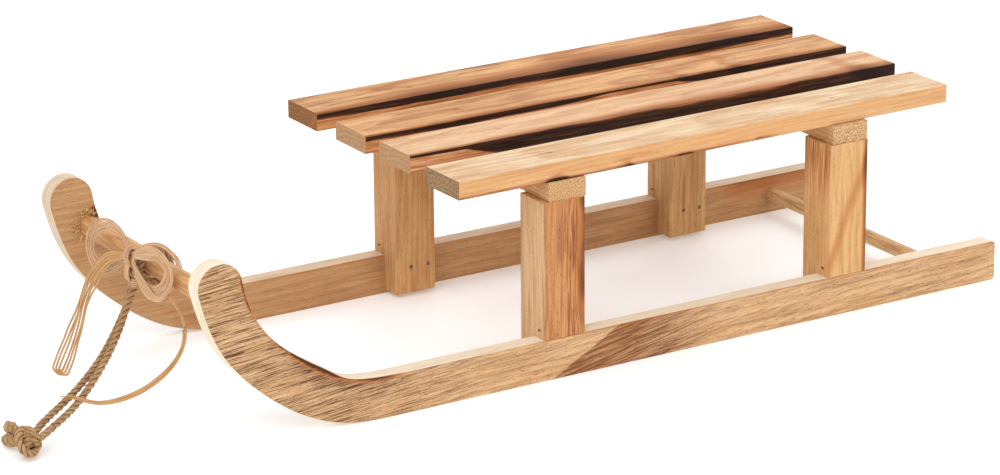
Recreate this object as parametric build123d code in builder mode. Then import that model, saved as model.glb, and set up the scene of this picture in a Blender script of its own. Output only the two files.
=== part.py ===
"""A small wooden toboggan with a slatted seat, a pull bar between the horns and a jute pull rope.

Millimetres. +X runs forward to the curled horns, +Y to the left, +Z up. The origin lies on the
ground, under the middle of the wooden frame.
"""

from build123d import *
from math import cos, pi, radians, sin, tan
import os

os.makedirs("parts", exist_ok=True)

# ---------------------------------------------------------------- overall sizes
overall_length = 600.0
overall_width = 212.0
seat_height = 142.0

# ---------------------------------------------------------------- runners
runner_height = 27.0
runner_thickness = 12.7
horn_height = 120.5
nose_radius = 15.0
nose_belly_turn = -14.0
nose_neck_turn = 172.0
sweep_length = 124.0
sweep_top_lead = 14.0
rear_corner_radius = 2.5
board_ease = 0.7
# points on the horn's two curves: distance behind the front end, height
belly_points = [(75.0, 10.6), (27.5, 47.0)]
neck_points = [(34.0, 91.0), (55.5, 60.5), (87.0, 38.8)]

# ---------------------------------------------------------------- posts, bolsters and slats
post_width = 30.0
post_depth = 28.5
post_clearance_from_ground = 3.0
post_inset_rear = 123.7
post_inset_front = 343.0
bolster_width = 27.3
bolster_height = 13.0
bolster_length = 210.0
bolster_shift_rear = -1.3
bolster_shift_front = -2.5
slat_length = 377.0
slat_width = 38.4
slat_thickness = 12.0
inner_left_slat_y = 24.1
inner_right_slat_y = -27.2
outer_left_slat_inset = 2.4
outer_left_slat_turn = 0.5
# the slats don't line up: how far each one's middle lies ahead of the bolsters' middle
outer_left_slat_shift = -0.7
inner_left_slat_shift = -3.0
inner_right_slat_shift = -0.7
outer_right_slat_shift = 1.0

# ---------------------------------------------------------------- dowels
pull_bar_diameter = 13.0
pull_bar_setback = 26.5
pull_bar_height = 86.8
rear_dowel_diameter = 9.5
rear_dowel_setback = 41.5
dowel_bore_depth = 6.5
dowel_clearance = 0.05

# ---------------------------------------------------------------- fasteners
staple_crown = 4.4
staple_wire = 1.1
staple_leg_length = 23.0
staple_recess = 0.4
brad_head_diameter = 2.6
brad_head_thickness = 0.7
brad_shank_diameter = 1.5
lap_brad_length = 22.0
bolster_brad_length = 30.0
toe_brad_length = 18.0
toe_brad_slope = 35.0
fastener_clearance = 0.03
lap_brad_drop = 6.0
lap_brad_offsets = (-9.5, 3.5)
bolster_brad_offsets = (-7.0, 6.0)
toe_brad_rise = 6.0

# ---------------------------------------------------------------- pull rope and raffia tie
rope_diameter = 5.0
rope_to_bar_clearance = 0.3
hitch_width = 11.6
hitch_y = -6.5
hitch_rounding = 1.5
knot_radius = 9.2
tail_end_radius = 3.9
loop_diameter = 3.0
strand_diameter = 2.4
tie_knot_radius = 5.4
tie_wrap_thickness = 1.6
tie_wrap_height = 6.0
tie_neck_diameter = 4.6
rope_leg_gap = 0.8
floor_gap = 0.1
bend_share = 0.45

# ---------------------------------------------------------------- places that follow from the sizes
front_x = overall_length / 2
rear_x = -overall_length / 2
outer_y = overall_width / 2
inner_y = outer_y - runner_thickness
bolster_top = seat_height - slat_thickness
post_top = bolster_top - bolster_height
post_rear_x = rear_x + post_inset_rear
post_front_x = rear_x + post_inset_front
bolster_rear_x = post_rear_x + bolster_shift_rear
bolster_front_x = post_front_x + bolster_shift_front
pull_bar_x = front_x - pull_bar_setback
rear_dowel_x = rear_x + rear_dowel_setback
rear_dowel_z = runner_height / 2
post_centre_y = outer_y - post_depth / 2

sides = {"left": 1, "right": -1}
post_places = {"front": post_front_x, "rear": post_rear_x}
bolster_places = {"front": bolster_front_x, "rear": bolster_rear_x}

# name: centre along X, centre along Y, turn about Z in degrees
slat_middle_x = (bolster_front_x + bolster_rear_x) / 2
outer_slat_y = outer_y - slat_width / 2
slats = {
    "slat_outer_left": (slat_middle_x + outer_left_slat_shift,
                        outer_slat_y - outer_left_slat_inset, outer_left_slat_turn),
    "slat_inner_left": (slat_middle_x + inner_left_slat_shift, inner_left_slat_y, 0.0),
    "slat_inner_right": (slat_middle_x + inner_right_slat_shift, inner_right_slat_y, 0.0),
    "slat_outer_right": (slat_middle_x + outer_right_slat_shift, -outer_slat_y, 0.0),
}


def finish(builder, name):
    """Label a finished piece and write it under its own name."""
    builder.part.label = name
    export_step(builder.part, f"parts/{name}.step")


# ---------------------------------------------------------------- fasteners: shapes and their holes
def brad(length, clearance=0.0):
    """A brad with its head's top at the origin, driven along -Z; with a clearance, its hole."""
    with BuildPart() as nail:
        with Locations((0, 0, -brad_head_thickness / 2)):
            Cylinder(brad_head_diameter / 2 + clearance, brad_head_thickness)
        with Locations((0, 0, -(brad_head_thickness + length) / 2)):
            Cylinder(brad_shank_diameter / 2 + clearance, length - brad_head_thickness)
    return nail.part


def staple(clearance=0.0):
    """A narrow staple with its crown's top at the origin, driven along -Z; or its slot and holes."""
    wire = staple_wire + 2 * clearance
    with BuildPart() as pin:
        with Locations((0, 0, -staple_wire / 2)):
            Box(staple_crown + 2 * clearance, wire, staple_wire)
        for end in (-1, 1):
            leg_x = end * (staple_crown - staple_wire) / 2
            with Locations((leg_x, 0, -staple_leg_length / 2)):
                Box(wire, wire, staple_leg_length)
    return pin.part


def staple_slot():
    """The staple's hole, open to the slat's top above the sunk crown."""
    with BuildPart() as slot:
        add(staple(fastener_clearance))
        with Locations((0, 0, staple_recess / 2)):
            Box(staple_crown, staple_wire, staple_recess)
    return slot.part


def staple_places(bolster_x):
    """Where the slats' staples go over one bolster, one for each slat, crown along the slat."""
    height = seat_height - staple_recess
    return [Location((bolster_x, y, height)) for _, y, _ in slats.values()]


def lap_brad_places(side, post_x):
    """Two brads from a post's inner face outwards into the runner."""
    face_y = side * (outer_y - post_depth)
    height = runner_height - lap_brad_drop
    plane_turn = (90 * side, 0, 0)
    return [Location((post_x + dx, face_y, height), plane_turn) for dx in lap_brad_offsets]


def toe_brad_place(side, post_x):
    """A slanting brad from a post's front face down into the top of the runner."""
    middle_y = side * (outer_y - runner_thickness / 2)
    place = (post_x + post_width / 2, middle_y, runner_height + toe_brad_rise)
    return Location(place, (0, 90 - toe_brad_slope, 0))


def bolster_brad_places(side, post_x):
    """Two hidden brads from the top of a bolster into a post's end grain."""
    return [Location((post_x + dx, side * post_centre_y, bolster_top)) for dx in bolster_brad_offsets]


# ---------------------------------------------------------------- runners
def runner_outline():
    """Side view of a runner: a flat bar that sweeps up into a horn with a round nose."""
    nose_x = front_x - nose_radius
    nose_z = horn_height - nose_radius
    belly_turn = radians(nose_belly_turn)
    neck_turn = radians(nose_neck_turn)
    belly_end = (nose_x + nose_radius * cos(belly_turn), nose_z + nose_radius * sin(belly_turn))
    neck_start = (nose_x + nose_radius * cos(neck_turn), nose_z + nose_radius * sin(neck_turn))
    belly_tangent = (-sin(belly_turn), cos(belly_turn))
    neck_tangent = (-sin(neck_turn), cos(neck_turn))
    belly_start = (front_x - sweep_length, 0.0)
    top_start = (front_x - sweep_length - sweep_top_lead, runner_height)
    belly = [(front_x - back, height) for back, height in belly_points]
    neck = [(front_x - back, height) for back, height in neck_points]
    with BuildSketch(Plane.XZ) as outline:
        with BuildLine():
            Line((rear_x, runner_height), (rear_x, 0))
            Line((rear_x, 0), belly_start)
            Spline(belly_start, *belly, belly_end, tangents=[(1, 0), belly_tangent])
            ThreePointArc(belly_end, (nose_x, horn_height), neck_start)
            Spline(neck_start, *neck, top_start, tangents=[neck_tangent, (-1, 0)])
            Line(top_start, (rear_x, runner_height))
        make_face()
        fillet(outline.vertices().group_by(Axis.X)[0], rear_corner_radius)
    return outline.sketch


for side_name, side in sides.items():
    with BuildPart() as runner:
        with BuildSketch(Plane.XZ.offset(-side * inner_y)):
            add(runner_outline())
        extrude(amount=-side * runner_thickness)
        broad_faces = runner.faces().filter_by(Axis.Y)
        fillet(broad_faces.edges(), board_ease)
        # blind bores for the pull bar and the rear dowel, open towards the middle
        bore_y = side * (inner_y + dowel_bore_depth / 2)
        with Locations(Location((pull_bar_x, bore_y, pull_bar_height), (90, 0, 0))):
            Cylinder(pull_bar_diameter / 2 + dowel_clearance, dowel_bore_depth, mode=Mode.SUBTRACT)
        with Locations(Location((rear_dowel_x, bore_y, rear_dowel_z), (90, 0, 0))):
            Cylinder(rear_dowel_diameter / 2 + dowel_clearance, dowel_bore_depth,
                     mode=Mode.SUBTRACT)
        for post_x in post_places.values():
            with Locations(*lap_brad_places(side, post_x)):
                add(brad(lap_brad_length, fastener_clearance), mode=Mode.SUBTRACT)
            with Locations(toe_brad_place(side, post_x)):
                add(brad(toe_brad_length, fastener_clearance), mode=Mode.SUBTRACT)
    finish(runner, f"runner_{side_name}")


# ---------------------------------------------------------------- posts
# The outer half stands on the runner, the inner half laps down its inside.
for end_name, post_x in post_places.items():
    for side_name, side in sides.items():
        lap_depth = post_depth - runner_thickness
        lap_y = side * (inner_y - lap_depth / 2)
        lap_height = post_top - post_clearance_from_ground
        with BuildPart() as post:
            with Locations((post_x, lap_y, post_top - lap_height / 2)):
                Box(post_width, lap_depth, lap_height)
            with Locations((post_x, side * (outer_y - runner_thickness / 2),
                            (post_top + runner_height) / 2)):
                Box(post_width, runner_thickness, post_top - runner_height)
            fillet(post.edges().filter_by(Axis.Z).group_by(Axis.Y)[0], board_ease)
            fillet(post.edges().filter_by(Axis.Z).group_by(Axis.Y)[-1], board_ease)
            with Locations(*lap_brad_places(side, post_x)):
                add(brad(lap_brad_length, fastener_clearance), mode=Mode.SUBTRACT)
            with Locations(toe_brad_place(side, post_x)):
                add(brad(toe_brad_length, fastener_clearance), mode=Mode.SUBTRACT)
            with Locations(*bolster_brad_places(side, post_x)):
                add(brad(bolster_brad_length, fastener_clearance), mode=Mode.SUBTRACT)
        finish(post, f"post_{end_name}_{side_name}")


# ---------------------------------------------------------------- bolsters
for end_name, bolster_x in bolster_places.items():
    with BuildPart() as bolster:
        with Locations((bolster_x, 0, bolster_top - bolster_height / 2)):
            Box(bolster_width, bolster_length, bolster_height)
        fillet(bolster.edges().filter_by(Axis.Y), board_ease)
        with Locations(*staple_places(bolster_x)):
            add(staple(fastener_clearance), mode=Mode.SUBTRACT)
        for side in sides.values():
            with Locations(*bolster_brad_places(side, post_places[end_name])):
                add(brad(bolster_brad_length, fastener_clearance), mode=Mode.SUBTRACT)
    finish(bolster, f"bolster_{end_name}")


# ---------------------------------------------------------------- seat slats
for slat_name, (slat_x, slat_y, turn) in slats.items():
    with BuildPart() as slat:
        with Locations(Location((slat_x, slat_y, seat_height - slat_thickness / 2), (0, 0, turn))):
            Box(slat_length, slat_width, slat_thickness)
        fillet(slat.edges().filter_by(lambda edge: edge.length > slat_width), board_ease)
        for bolster_x in bolster_places.values():
            with Locations(*staple_places(bolster_x)):
                add(staple_slot(), mode=Mode.SUBTRACT)
    finish(slat, slat_name)


# ---------------------------------------------------------------- dowels
def dowel(name, diameter, x, z):
    """A round bar held at both ends in the runners' blind bores."""
    length = 2 * (inner_y + dowel_bore_depth)
    with BuildPart() as bar:
        with Locations(Location((x, 0, z), (90, 0, 0))):
            Cylinder(diameter / 2, length)
    finish(bar, name)


dowel("pull_bar", pull_bar_diameter, pull_bar_x, pull_bar_height)
dowel("rear_dowel", rear_dowel_diameter, rear_dowel_x, rear_dowel_z)


# ---------------------------------------------------------------- staples and brads, in groups
for end_name, bolster_x in bolster_places.items():
    with BuildPart() as slat_staples:
        with Locations(*staple_places(bolster_x)):
            add(staple())
    finish(slat_staples, f"slat_staples_{end_name}")

for side_name, side in sides.items():
    with BuildPart() as lap_brads:
        for post_x in post_places.values():
            with Locations(*lap_brad_places(side, post_x)):
                add(brad(lap_brad_length))
    finish(lap_brads, f"lap_brads_{side_name}")

with BuildPart() as toe_brads:
    for side in sides.values():
        for post_x in post_places.values():
            with Locations(toe_brad_place(side, post_x)):
                add(brad(toe_brad_length))
finish(toe_brads, "toe_brads")

with BuildPart() as bolster_brads:
    for side in sides.values():
        for post_x in post_places.values():
            with Locations(*bolster_brad_places(side, post_x)):
                add(brad(bolster_brad_length))
finish(bolster_brads, "bolster_brads")


# ---------------------------------------------------------------- cord tubes
def bend_radii(points):
    """The largest arc at each corner that its two runs leave room for."""
    radii = []
    for before, corner, after in zip(points, points[1:], points[2:]):
        run_in = Vector(*corner) - Vector(*before)
        run_out = Vector(*after) - Vector(*corner)
        half_turn = radians(run_in.get_angle(run_out)) / 2
        radii.append(bend_share * min(run_in.length, run_out.length) / tan(half_turn))
    return radii


def cord_tube(points, diameter):
    """A plain round tube along straight runs and tangent arcs, with its size printed."""
    radii = bend_radii(points)
    with BuildPart() as tube:
        with BuildLine() as route:
            FilletPolyline(*points, radius=radii)
        path = route.wire()
        with BuildSketch(Plane(origin=path @ 0, z_dir=path % 0)):
            Circle(diameter / 2)
        sweep(path=path)
    length = path.length
    expected = length * pi * diameter ** 2 / 4
    rounded = [round(radius, 1) for radius in radii]
    print("cord length", round(length, 1), "volume ratio", round(tube.part.volume / expected, 4),
          "radii", rounded)
    return tube.part


# ---------------------------------------------------------------- pull rope
# The rope is folded in half round the pull bar. Its legs hang side by side to a knot on the floor.
rope_leg_left_route = [
    (282.8, -3.8, 86.8),
    (288.4, -3.6, 73.5),
    (296.2, 1.7, 64.0),
    (305.6, 9.4, 53.0),
    (317.7, 16.8, 41.1),
    (333.4, 26.4, 29.9),
    (349.9, 35.4, 20.7),
    (368.0, 43.4, 15.0),
    (379.8, 48.4, 11.4),
]
rope_leg_right_route = [
    (282.8, -9.2, 86.8),
    (286.5, -8.7, 72.9),
    (295.4, -3.2, 61.0),
    (307.6, 4.2, 51.4),
    (320.9, 11.2, 40.9),
    (337.4, 19.3, 30.1),
    (354.0, 27.9, 21.6),
    (371.6, 36.8, 16.8),
    (382.0, 43.2, 12.4),
]
knot_centre = (385.0, 47.0, knot_radius + floor_gap)
tail_ends = [(384.6, 17.0, 9.6), (389.6, 24.6, 5.0)]

hitch_inner_radius = pull_bar_diameter / 2 + rope_to_bar_clearance
hitch_place = Location((pull_bar_x, hitch_y, pull_bar_height), (90, 0, 0))

with BuildPart() as rope_hitch:
    with Locations(hitch_place):
        Cylinder(hitch_inner_radius + rope_diameter, hitch_width)
        Cylinder(hitch_inner_radius, hitch_width, mode=Mode.SUBTRACT)
    fillet(rope_hitch.edges().group_by(SortBy.LENGTH)[-1], hitch_rounding)
finish(rope_hitch, "rope_hitch")

with BuildPart() as rope_knot:
    with Locations(knot_centre):
        Sphere(knot_radius)
    for tail_end in tail_ends:
        with BuildLine() as tail:
            Line(knot_centre, tail_end)
        with BuildSketch(Plane(origin=tail.line @ 0, z_dir=tail.line % 0)):
            Circle(rope_diameter / 2)
        sweep(path=tail.line)
        with Locations(tail_end):
            Sphere(tail_end_radius)
finish(rope_knot, "rope_knot")

rope_legs = []
for leg_name, leg_route in (("rope_leg_left", rope_leg_left_route),
                            ("rope_leg_right", rope_leg_right_route)):
    with BuildPart() as rope_leg:
        add(cord_tube(leg_route, rope_diameter))
        add(rope_hitch.part, mode=Mode.SUBTRACT)
        add(rope_knot.part, mode=Mode.SUBTRACT)
    finish(rope_leg, leg_name)
    rope_legs.append(rope_leg.part)


# ---------------------------------------------------------------- raffia tie
# A band round the rope's neck with its knot in front, two loops of a bow along the pull bar,
# a long loop that hangs to the floor and one strand that falls across the rope.
tie_knot_centre = (289.5, -3.8, 95.1)
tie_wrap_centre = (286.0, -6.4, 77.5)
tie_wrap_turn = 76.0
tie_neck_start = (290.6, -5.4, 78.5)
tie_loop_left_route = [
    (289.5, -3.7, 96.5),
    (289.6, -7.1, 102.7),
    (289.8, -14.3, 108.1),
    (290.2, -25.9, 109.6),
    (290.6, -38.0, 106.6),
    (290.8, -48.4, 101.0),
    (291.0, -54.9, 93.6),
    (291.1, -57.0, 86.2),
    (291.0, -53.9, 79.4),
    (290.9, -47.0, 76.6),
    (290.7, -38.6, 78.4),
    (290.3, -28.4, 82.8),
    (289.9, -17.2, 88.1),
    (289.5, -3.9, 94.5),
]
tie_loop_right_route = [
    (289.8, -1.9, 94.4),
    (289.4, 2.1, 86.4),
    (288.8, 8.3, 78.4),
    (288.0, 15.9, 74.7),
    (287.1, 24.8, 75.2),
    (286.3, 33.4, 79.5),
    (285.6, 39.9, 86.5),
    (285.2, 43.2, 93.4),
    (285.5, 41.0, 100.6),
    (286.2, 34.6, 105.4),
    (287.1, 25.1, 107.2),
    (288.3, 13.3, 104.1),
    (289.8, -1.8, 96.4),
]
tie_tail_route = [
    (289.5, -3.8, 95.1),
    (292.7, -14.6, 93.0),
    (295.5, -23.8, 88.6),
    (297.9, -32.1, 80.4),
    (300.2, -39.6, 69.1),
    (302.1, -46.0, 56.4),
    (303.5, -50.7, 43.3),
    (305.2, -56.3, 30.7),
    (307.0, -62.3, 17.8),
    (309.0, -68.9, 4.6),
]
tie_strand_route = [
    (285.4, 37.5, 81.2),
    (279.5, 34.2, 73.5),
    (273.8, 31.6, 65.0),
    (270.8, 30.4, 55.0),
    (271.6, 30.0, 44.6),
    (277.0, 30.0, 35.0),
    (287.2, 30.2, 26.6),
    (301.0, 30.6, 20.2),
    (316.5, 30.9, 17.4),
    (330.0, 33.0, 18.8),
    (339.8, 36.4, 22.6),
    (347.2, 37.6, 26.8),
    (352.6, 34.4, 28.0),
    (356.0, 29.0, 26.8),
]

with BuildPart() as tie_band:
    with BuildSketch(Plane.XY.offset(tie_wrap_centre[2] - tie_wrap_height / 2)):
        with Locations(Location(tie_wrap_centre[:2], tie_wrap_turn)):
            SlotOverall(2 * (rope_diameter + tie_wrap_thickness) + rope_leg_gap,
                        rope_diameter + 2 * tie_wrap_thickness)
    extrude(amount=tie_wrap_height)
    with BuildLine() as neck:
        Line(tie_neck_start, tie_knot_centre)
    with BuildSketch(Plane(origin=neck.line @ 0, z_dir=neck.line % 0)):
        Circle(tie_neck_diameter / 2)
    sweep(path=neck.line)
    with Locations(tie_knot_centre):
        Sphere(tie_knot_radius)
    add(rope_hitch.part, mode=Mode.SUBTRACT)
    for rope_leg_part in rope_legs:
        add(rope_leg_part, mode=Mode.SUBTRACT)
finish(tie_band, "tie_band")

tie_pieces = [tie_band.part]
for tie_name, tie_route, tie_diameter in (
        ("tie_loop_left", tie_loop_left_route, loop_diameter),
        ("tie_loop_right", tie_loop_right_route, loop_diameter),
        ("tie_tail_loop", tie_tail_route, loop_diameter),
        ("tie_strand", tie_strand_route, strand_diameter)):
    with BuildPart() as tie_piece:
        add(cord_tube(tie_route, tie_diameter))
        for neighbour in tie_pieces:
            add(neighbour, mode=Mode.SUBTRACT)
    finish(tie_piece, tie_name)
    tie_pieces.append(tie_piece.part)
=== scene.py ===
"""The looks of a small toboggan of flamed softwood: its timber, pull rope and raffia bow.

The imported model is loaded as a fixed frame. Metres, +X forward, +Y left, +Z up, floor at zero.
"""

import math
import random
from dataclasses import dataclass

import bpy
from mathutils import Matrix, Vector


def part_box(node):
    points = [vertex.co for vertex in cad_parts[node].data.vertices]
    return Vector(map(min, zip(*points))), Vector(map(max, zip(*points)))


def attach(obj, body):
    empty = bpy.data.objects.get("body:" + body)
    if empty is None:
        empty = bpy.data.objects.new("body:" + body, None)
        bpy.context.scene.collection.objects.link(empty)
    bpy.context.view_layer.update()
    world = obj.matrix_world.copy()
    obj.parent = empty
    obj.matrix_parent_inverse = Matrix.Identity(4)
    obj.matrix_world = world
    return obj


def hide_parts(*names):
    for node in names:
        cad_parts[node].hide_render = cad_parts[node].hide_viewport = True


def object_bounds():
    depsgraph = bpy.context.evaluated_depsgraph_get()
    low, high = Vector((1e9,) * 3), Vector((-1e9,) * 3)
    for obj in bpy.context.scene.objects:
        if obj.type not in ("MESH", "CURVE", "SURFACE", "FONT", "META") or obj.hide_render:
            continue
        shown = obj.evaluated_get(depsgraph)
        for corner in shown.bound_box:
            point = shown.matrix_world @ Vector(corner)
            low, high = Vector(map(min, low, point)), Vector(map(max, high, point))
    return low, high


bl_info = {
    "name": "Flamed toboggan",
    "version": (1, 0, 0),
    "blender": (4, 5, 0),
    "location": "3D View > Sidebar > Toboggan",
    "description": "Finishes a wooden toboggan with its pull rope and raffia bow",
    "category": "Object",
}

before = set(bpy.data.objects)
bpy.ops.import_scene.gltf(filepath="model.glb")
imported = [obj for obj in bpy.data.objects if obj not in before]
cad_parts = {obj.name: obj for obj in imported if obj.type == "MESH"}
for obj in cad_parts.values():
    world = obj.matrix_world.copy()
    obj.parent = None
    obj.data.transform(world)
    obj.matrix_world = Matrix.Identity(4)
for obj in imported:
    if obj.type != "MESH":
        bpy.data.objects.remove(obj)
CAD_LOW, CAD_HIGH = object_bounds()

MM = 0.001
SLEDGE = "sledge"
ROPE = "pull_rope"
HALF_WIDTH = CAD_HIGH[1] / MM
SEAT_TOP = CAD_HIGH[2] / MM


def linear(red, green, blue):
    """A colour in 0 to 255 display steps as the linear numbers that shaders take."""
    return tuple(
        (c / 255 / 12.92) if c < 11 else ((c / 255 + 0.055) / 1.055) ** 2.4
        for c in (red, green, blue)
    )


def middle(node):
    """The centre of a CAD node's box."""
    low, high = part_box(node)
    return (Vector(low) + Vector(high)) / 2


# ---------------------------------------------------------------- settings
def length_setting(name, description, default, least):
    """A length that a user may change, in millimetres here."""
    return bpy.props.FloatProperty(
        name=name, description=description, default=default * MM, min=least * MM, unit="LENGTH")


def angle_setting(name, description, degrees):
    """An angle that a user may change."""
    return bpy.props.FloatProperty(
        name=name, description=description, default=math.radians(degrees), subtype="ANGLE")


def colour_setting(name, description, default):
    """A colour that a user may change, as the linear numbers that shaders take."""
    return bpy.props.FloatVectorProperty(
        name=name, description=description, default=default, size=3, min=0.0, max=1.0,
        subtype="COLOR")


class TobogganWood(bpy.types.PropertyGroup):
    """Colours and grain of the timber."""

    ring_spacing: length_setting("Ring spacing", "Distance between two growth rings", 3.4, 1.0)
    grain_relief: bpy.props.FloatProperty(
        name="Grain relief", description="How deep the brushed grain stands",
        default=0.35, min=0.0, max=1.0, subtype="FACTOR")
    scorch_toast: colour_setting(
        "Toasted wood", "Colour where the flame only warmed the wood", linear(184, 112, 58))
    scorch_brown: colour_setting(
        "Scorch brown", "Colour where the flame browned the wood", linear(104, 58, 26))
    scorch_black: colour_setting(
        "Scorch black", "Colour where the flame charred the wood", linear(36, 17, 6))
    cut_edge: colour_setting(
        "Cut edge", "Colour of the runners' pale sawn edges", linear(240, 229, 208))


class TobogganRope(bpy.types.PropertyGroup):
    """The jute pull rope."""

    diameter: length_setting("Diameter", "Thickness of the laid rope", 5.0, 1.0)
    lay_length: length_setting(
        "Lay length", "Distance in which a strand winds once round the rope", 14.0, 2.0)
    light: colour_setting("Light jute", "Colour of the raised fibres", linear(228, 186, 136))
    dark: colour_setting("Dark jute", "Colour of the duller fibres", linear(132, 90, 50))


class TobogganRaffia(bpy.types.PropertyGroup):
    """The raffia bow round the rope's neck."""

    thread: length_setting("Thread", "Thickness of one raffia thread", 1.15, 0.2)
    ribbon: length_setting("Ribbon", "Width of the loose flat strand", 2.6, 0.5)
    light: colour_setting("Light raffia", "Colour of the bow's threads", linear(232, 192, 150))
    dark: colour_setting("Dark raffia", "Colour of the duller fibres", linear(168, 118, 72))
    golden: colour_setting("Golden raffia", "Colour of the hanging threads", linear(214, 166, 104))


class TobogganStage(bpy.types.PropertyGroup):
    """Camera, floor and light."""

    azimuth: angle_setting("Azimuth", "Camera's direction round the toboggan", 148.263)
    elevation: angle_setting("Elevation", "Camera's height above the horizon", 18.635)
    roll: angle_setting("Roll", "Camera's tilt about its own axis", -0.4438)
    distance: length_setting(
        "Distance", "From the camera to the point that it looks at", 2586.1, 100.0)
    target: bpy.props.FloatVectorProperty(
        name="Target", description="The point that the camera looks at",
        default=(0.02436, -0.0009, 0.05907), size=3, subtype="TRANSLATION")
    lens: bpy.props.FloatProperty(
        name="Lens", description="Focal length in millimetres on a 36 mm wide sensor",
        default=143.48, min=10.0)
    floor_size: length_setting("Floor", "Side of the square floor", 14000.0, 1000.0)
    floor_glow: bpy.props.FloatProperty(
        name="Floor glow", description="How much the floor brightens its own shadows",
        default=0.2, min=0.0)
    floor_colour: colour_setting(
        "Floor colour", "Colour of the plain floor", (0.93, 0.955, 0.97))
    sky: bpy.props.FloatProperty(
        name="Surrounding light", description="Strength of the even light from all sides",
        default=0.84, min=0.0)


# ---------------------------------------------------------------- shader expressions
class Wire:
    """A shader socket that sums, products and masks are written with."""

    def __init__(self, finish, socket):
        self.finish = finish
        self.socket = socket

    def maths(self, operation, *others):
        """A Math node on this value and the others."""
        values = dict(enumerate((self, *others)))
        return self.finish.node("ShaderNodeMath", {"operation": operation}, values)

    def __add__(self, other):
        return self.maths("ADD", other)

    __radd__ = __add__

    def __mul__(self, other):
        return self.maths("MULTIPLY", other)

    __rmul__ = __mul__

    def __sub__(self, other):
        return self.maths("SUBTRACT", other)

    def __rsub__(self, other):
        return self.finish.node("ShaderNodeMath", {"operation": "SUBTRACT"}, {0: other, 1: self})

    def __truediv__(self, other):
        return self.maths("DIVIDE", other)

    def __pow__(self, other):
        return self.maths("POWER", other)

    def __abs__(self):
        return self.maths("ABSOLUTE")

    def fraction(self):
        return self.maths("FRACT")

    def least(self, other):
        return self.maths("MINIMUM", other)

    def most(self, other):
        return self.maths("MAXIMUM", other)

    def rise(self, start, end):
        """0 below start, 1 above end and smooth between; falls instead where end is less."""
        settings = {"interpolation_type": "SMOOTHSTEP", "clamp": True}
        if end < start:
            return 1 - self.rise(end, start)
        return self.finish.node("ShaderNodeMapRange", settings,
                                {"Value": self, "From Min": start, "From Max": end})


class Finish:
    """One procedural material, built from nodes and expressions."""

    def __init__(self, name):
        self.material = bpy.data.materials.new(name)
        self.material.use_nodes = True
        self.tree = self.material.node_tree
        self.tree.nodes.clear()

    def node(self, kind, settings=None, sockets=None, output=0):
        """Adds a node, with its settings first and then its sockets' values or links.

        Output is one output's name or place, or a tuple of them for as many wires.
        """
        made = self.tree.nodes.new(kind)
        for key, value in (settings or {}).items():
            setattr(made, key, value)
        for key, value in (sockets or {}).items():
            socket = made.inputs[key]
            if isinstance(value, Wire):
                self.tree.links.new(value.socket, socket)
            elif socket.type == "RGBA" and len(value) == 3:
                socket.default_value = (*value, 1)
            else:
                socket.default_value = value
        if output is None:
            return None
        if isinstance(output, tuple):
            return tuple(Wire(self, made.outputs[name]) for name in output)
        return Wire(self, made.outputs[output])

    def millimetres(self):
        """The place on the object, as three wires in millimetres."""
        place = self.node("ShaderNodeTexCoord", output="Object")
        scaled = self.node("ShaderNodeVectorMath", {"operation": "SCALE"},
                           {0: place, "Scale": 1 / MM})
        return self.node("ShaderNodeSeparateXYZ", sockets={0: scaled}, output=("X", "Y", "Z"))

    def coordinates(self, kind):
        """One of the surface's own sets of coordinates, as three wires."""
        place = self.node("ShaderNodeTexCoord", output=kind)
        return self.node("ShaderNodeSeparateXYZ", sockets={0: place}, output=("X", "Y", "Z"))

    def noise(self, a, b, c, detail=2.0, roughness=0.5, distortion=0.0):
        """Noise at a place whose three numbers are already scaled."""
        place = self.node("ShaderNodeCombineXYZ", sockets={"X": a, "Y": b, "Z": c})
        return self.node("ShaderNodeTexNoise", {"noise_dimensions": "3D"}, {
            "Vector": place, "Scale": 1.0, "Detail": detail, "Roughness": roughness,
            "Distortion": distortion}, output="Fac")

    def mix(self, share, first, second):
        """A colour between two colours."""
        return self.node("ShaderNodeMix", {"data_type": "RGBA"},
                         {0: share, 6: first, 7: second}, output=2)

    def surface(self, colour, roughness, height=None, relief=0.3, depth=0.3 * MM, **fixed):
        """Ends the material in one Principled shader, with a bump from height."""
        sockets = {"Base Color": colour, "Roughness": roughness, **fixed}
        if height is not None:
            sockets["Normal"] = self.node("ShaderNodeBump", sockets={
                "Strength": relief, "Distance": depth, "Height": height})
        shader = self.node("ShaderNodeBsdfPrincipled", sockets=sockets)
        self.node("ShaderNodeOutputMaterial", sockets={"Surface": shader}, output=None)
        return self.material


# ---------------------------------------------------------------- timber
@dataclass
class Board:
    """How one piece of timber was cut and coloured. Colours are in display steps."""

    axis: str  # the way that its fibres run
    pale: tuple
    warm: tuple
    pith: tuple  # where the tree's middle lies across the fibres, in millimetres
    seed: float
    lines: float = 0.25
    line_colour: tuple = (120, 76, 44)
    spacing: float = 1.0
    scorch: object = None
    edge: float = 0.0
    blotch: float = 0.5
    rings: float = 0.3
    ends: tuple = ((176, 127, 78), (222, 180, 132))
    side: tuple = None
    side_share: float = 0.7


RING_WANDER = 9.0
RING_SLOPE = 0.03
END_CHAR = 0.85


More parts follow.
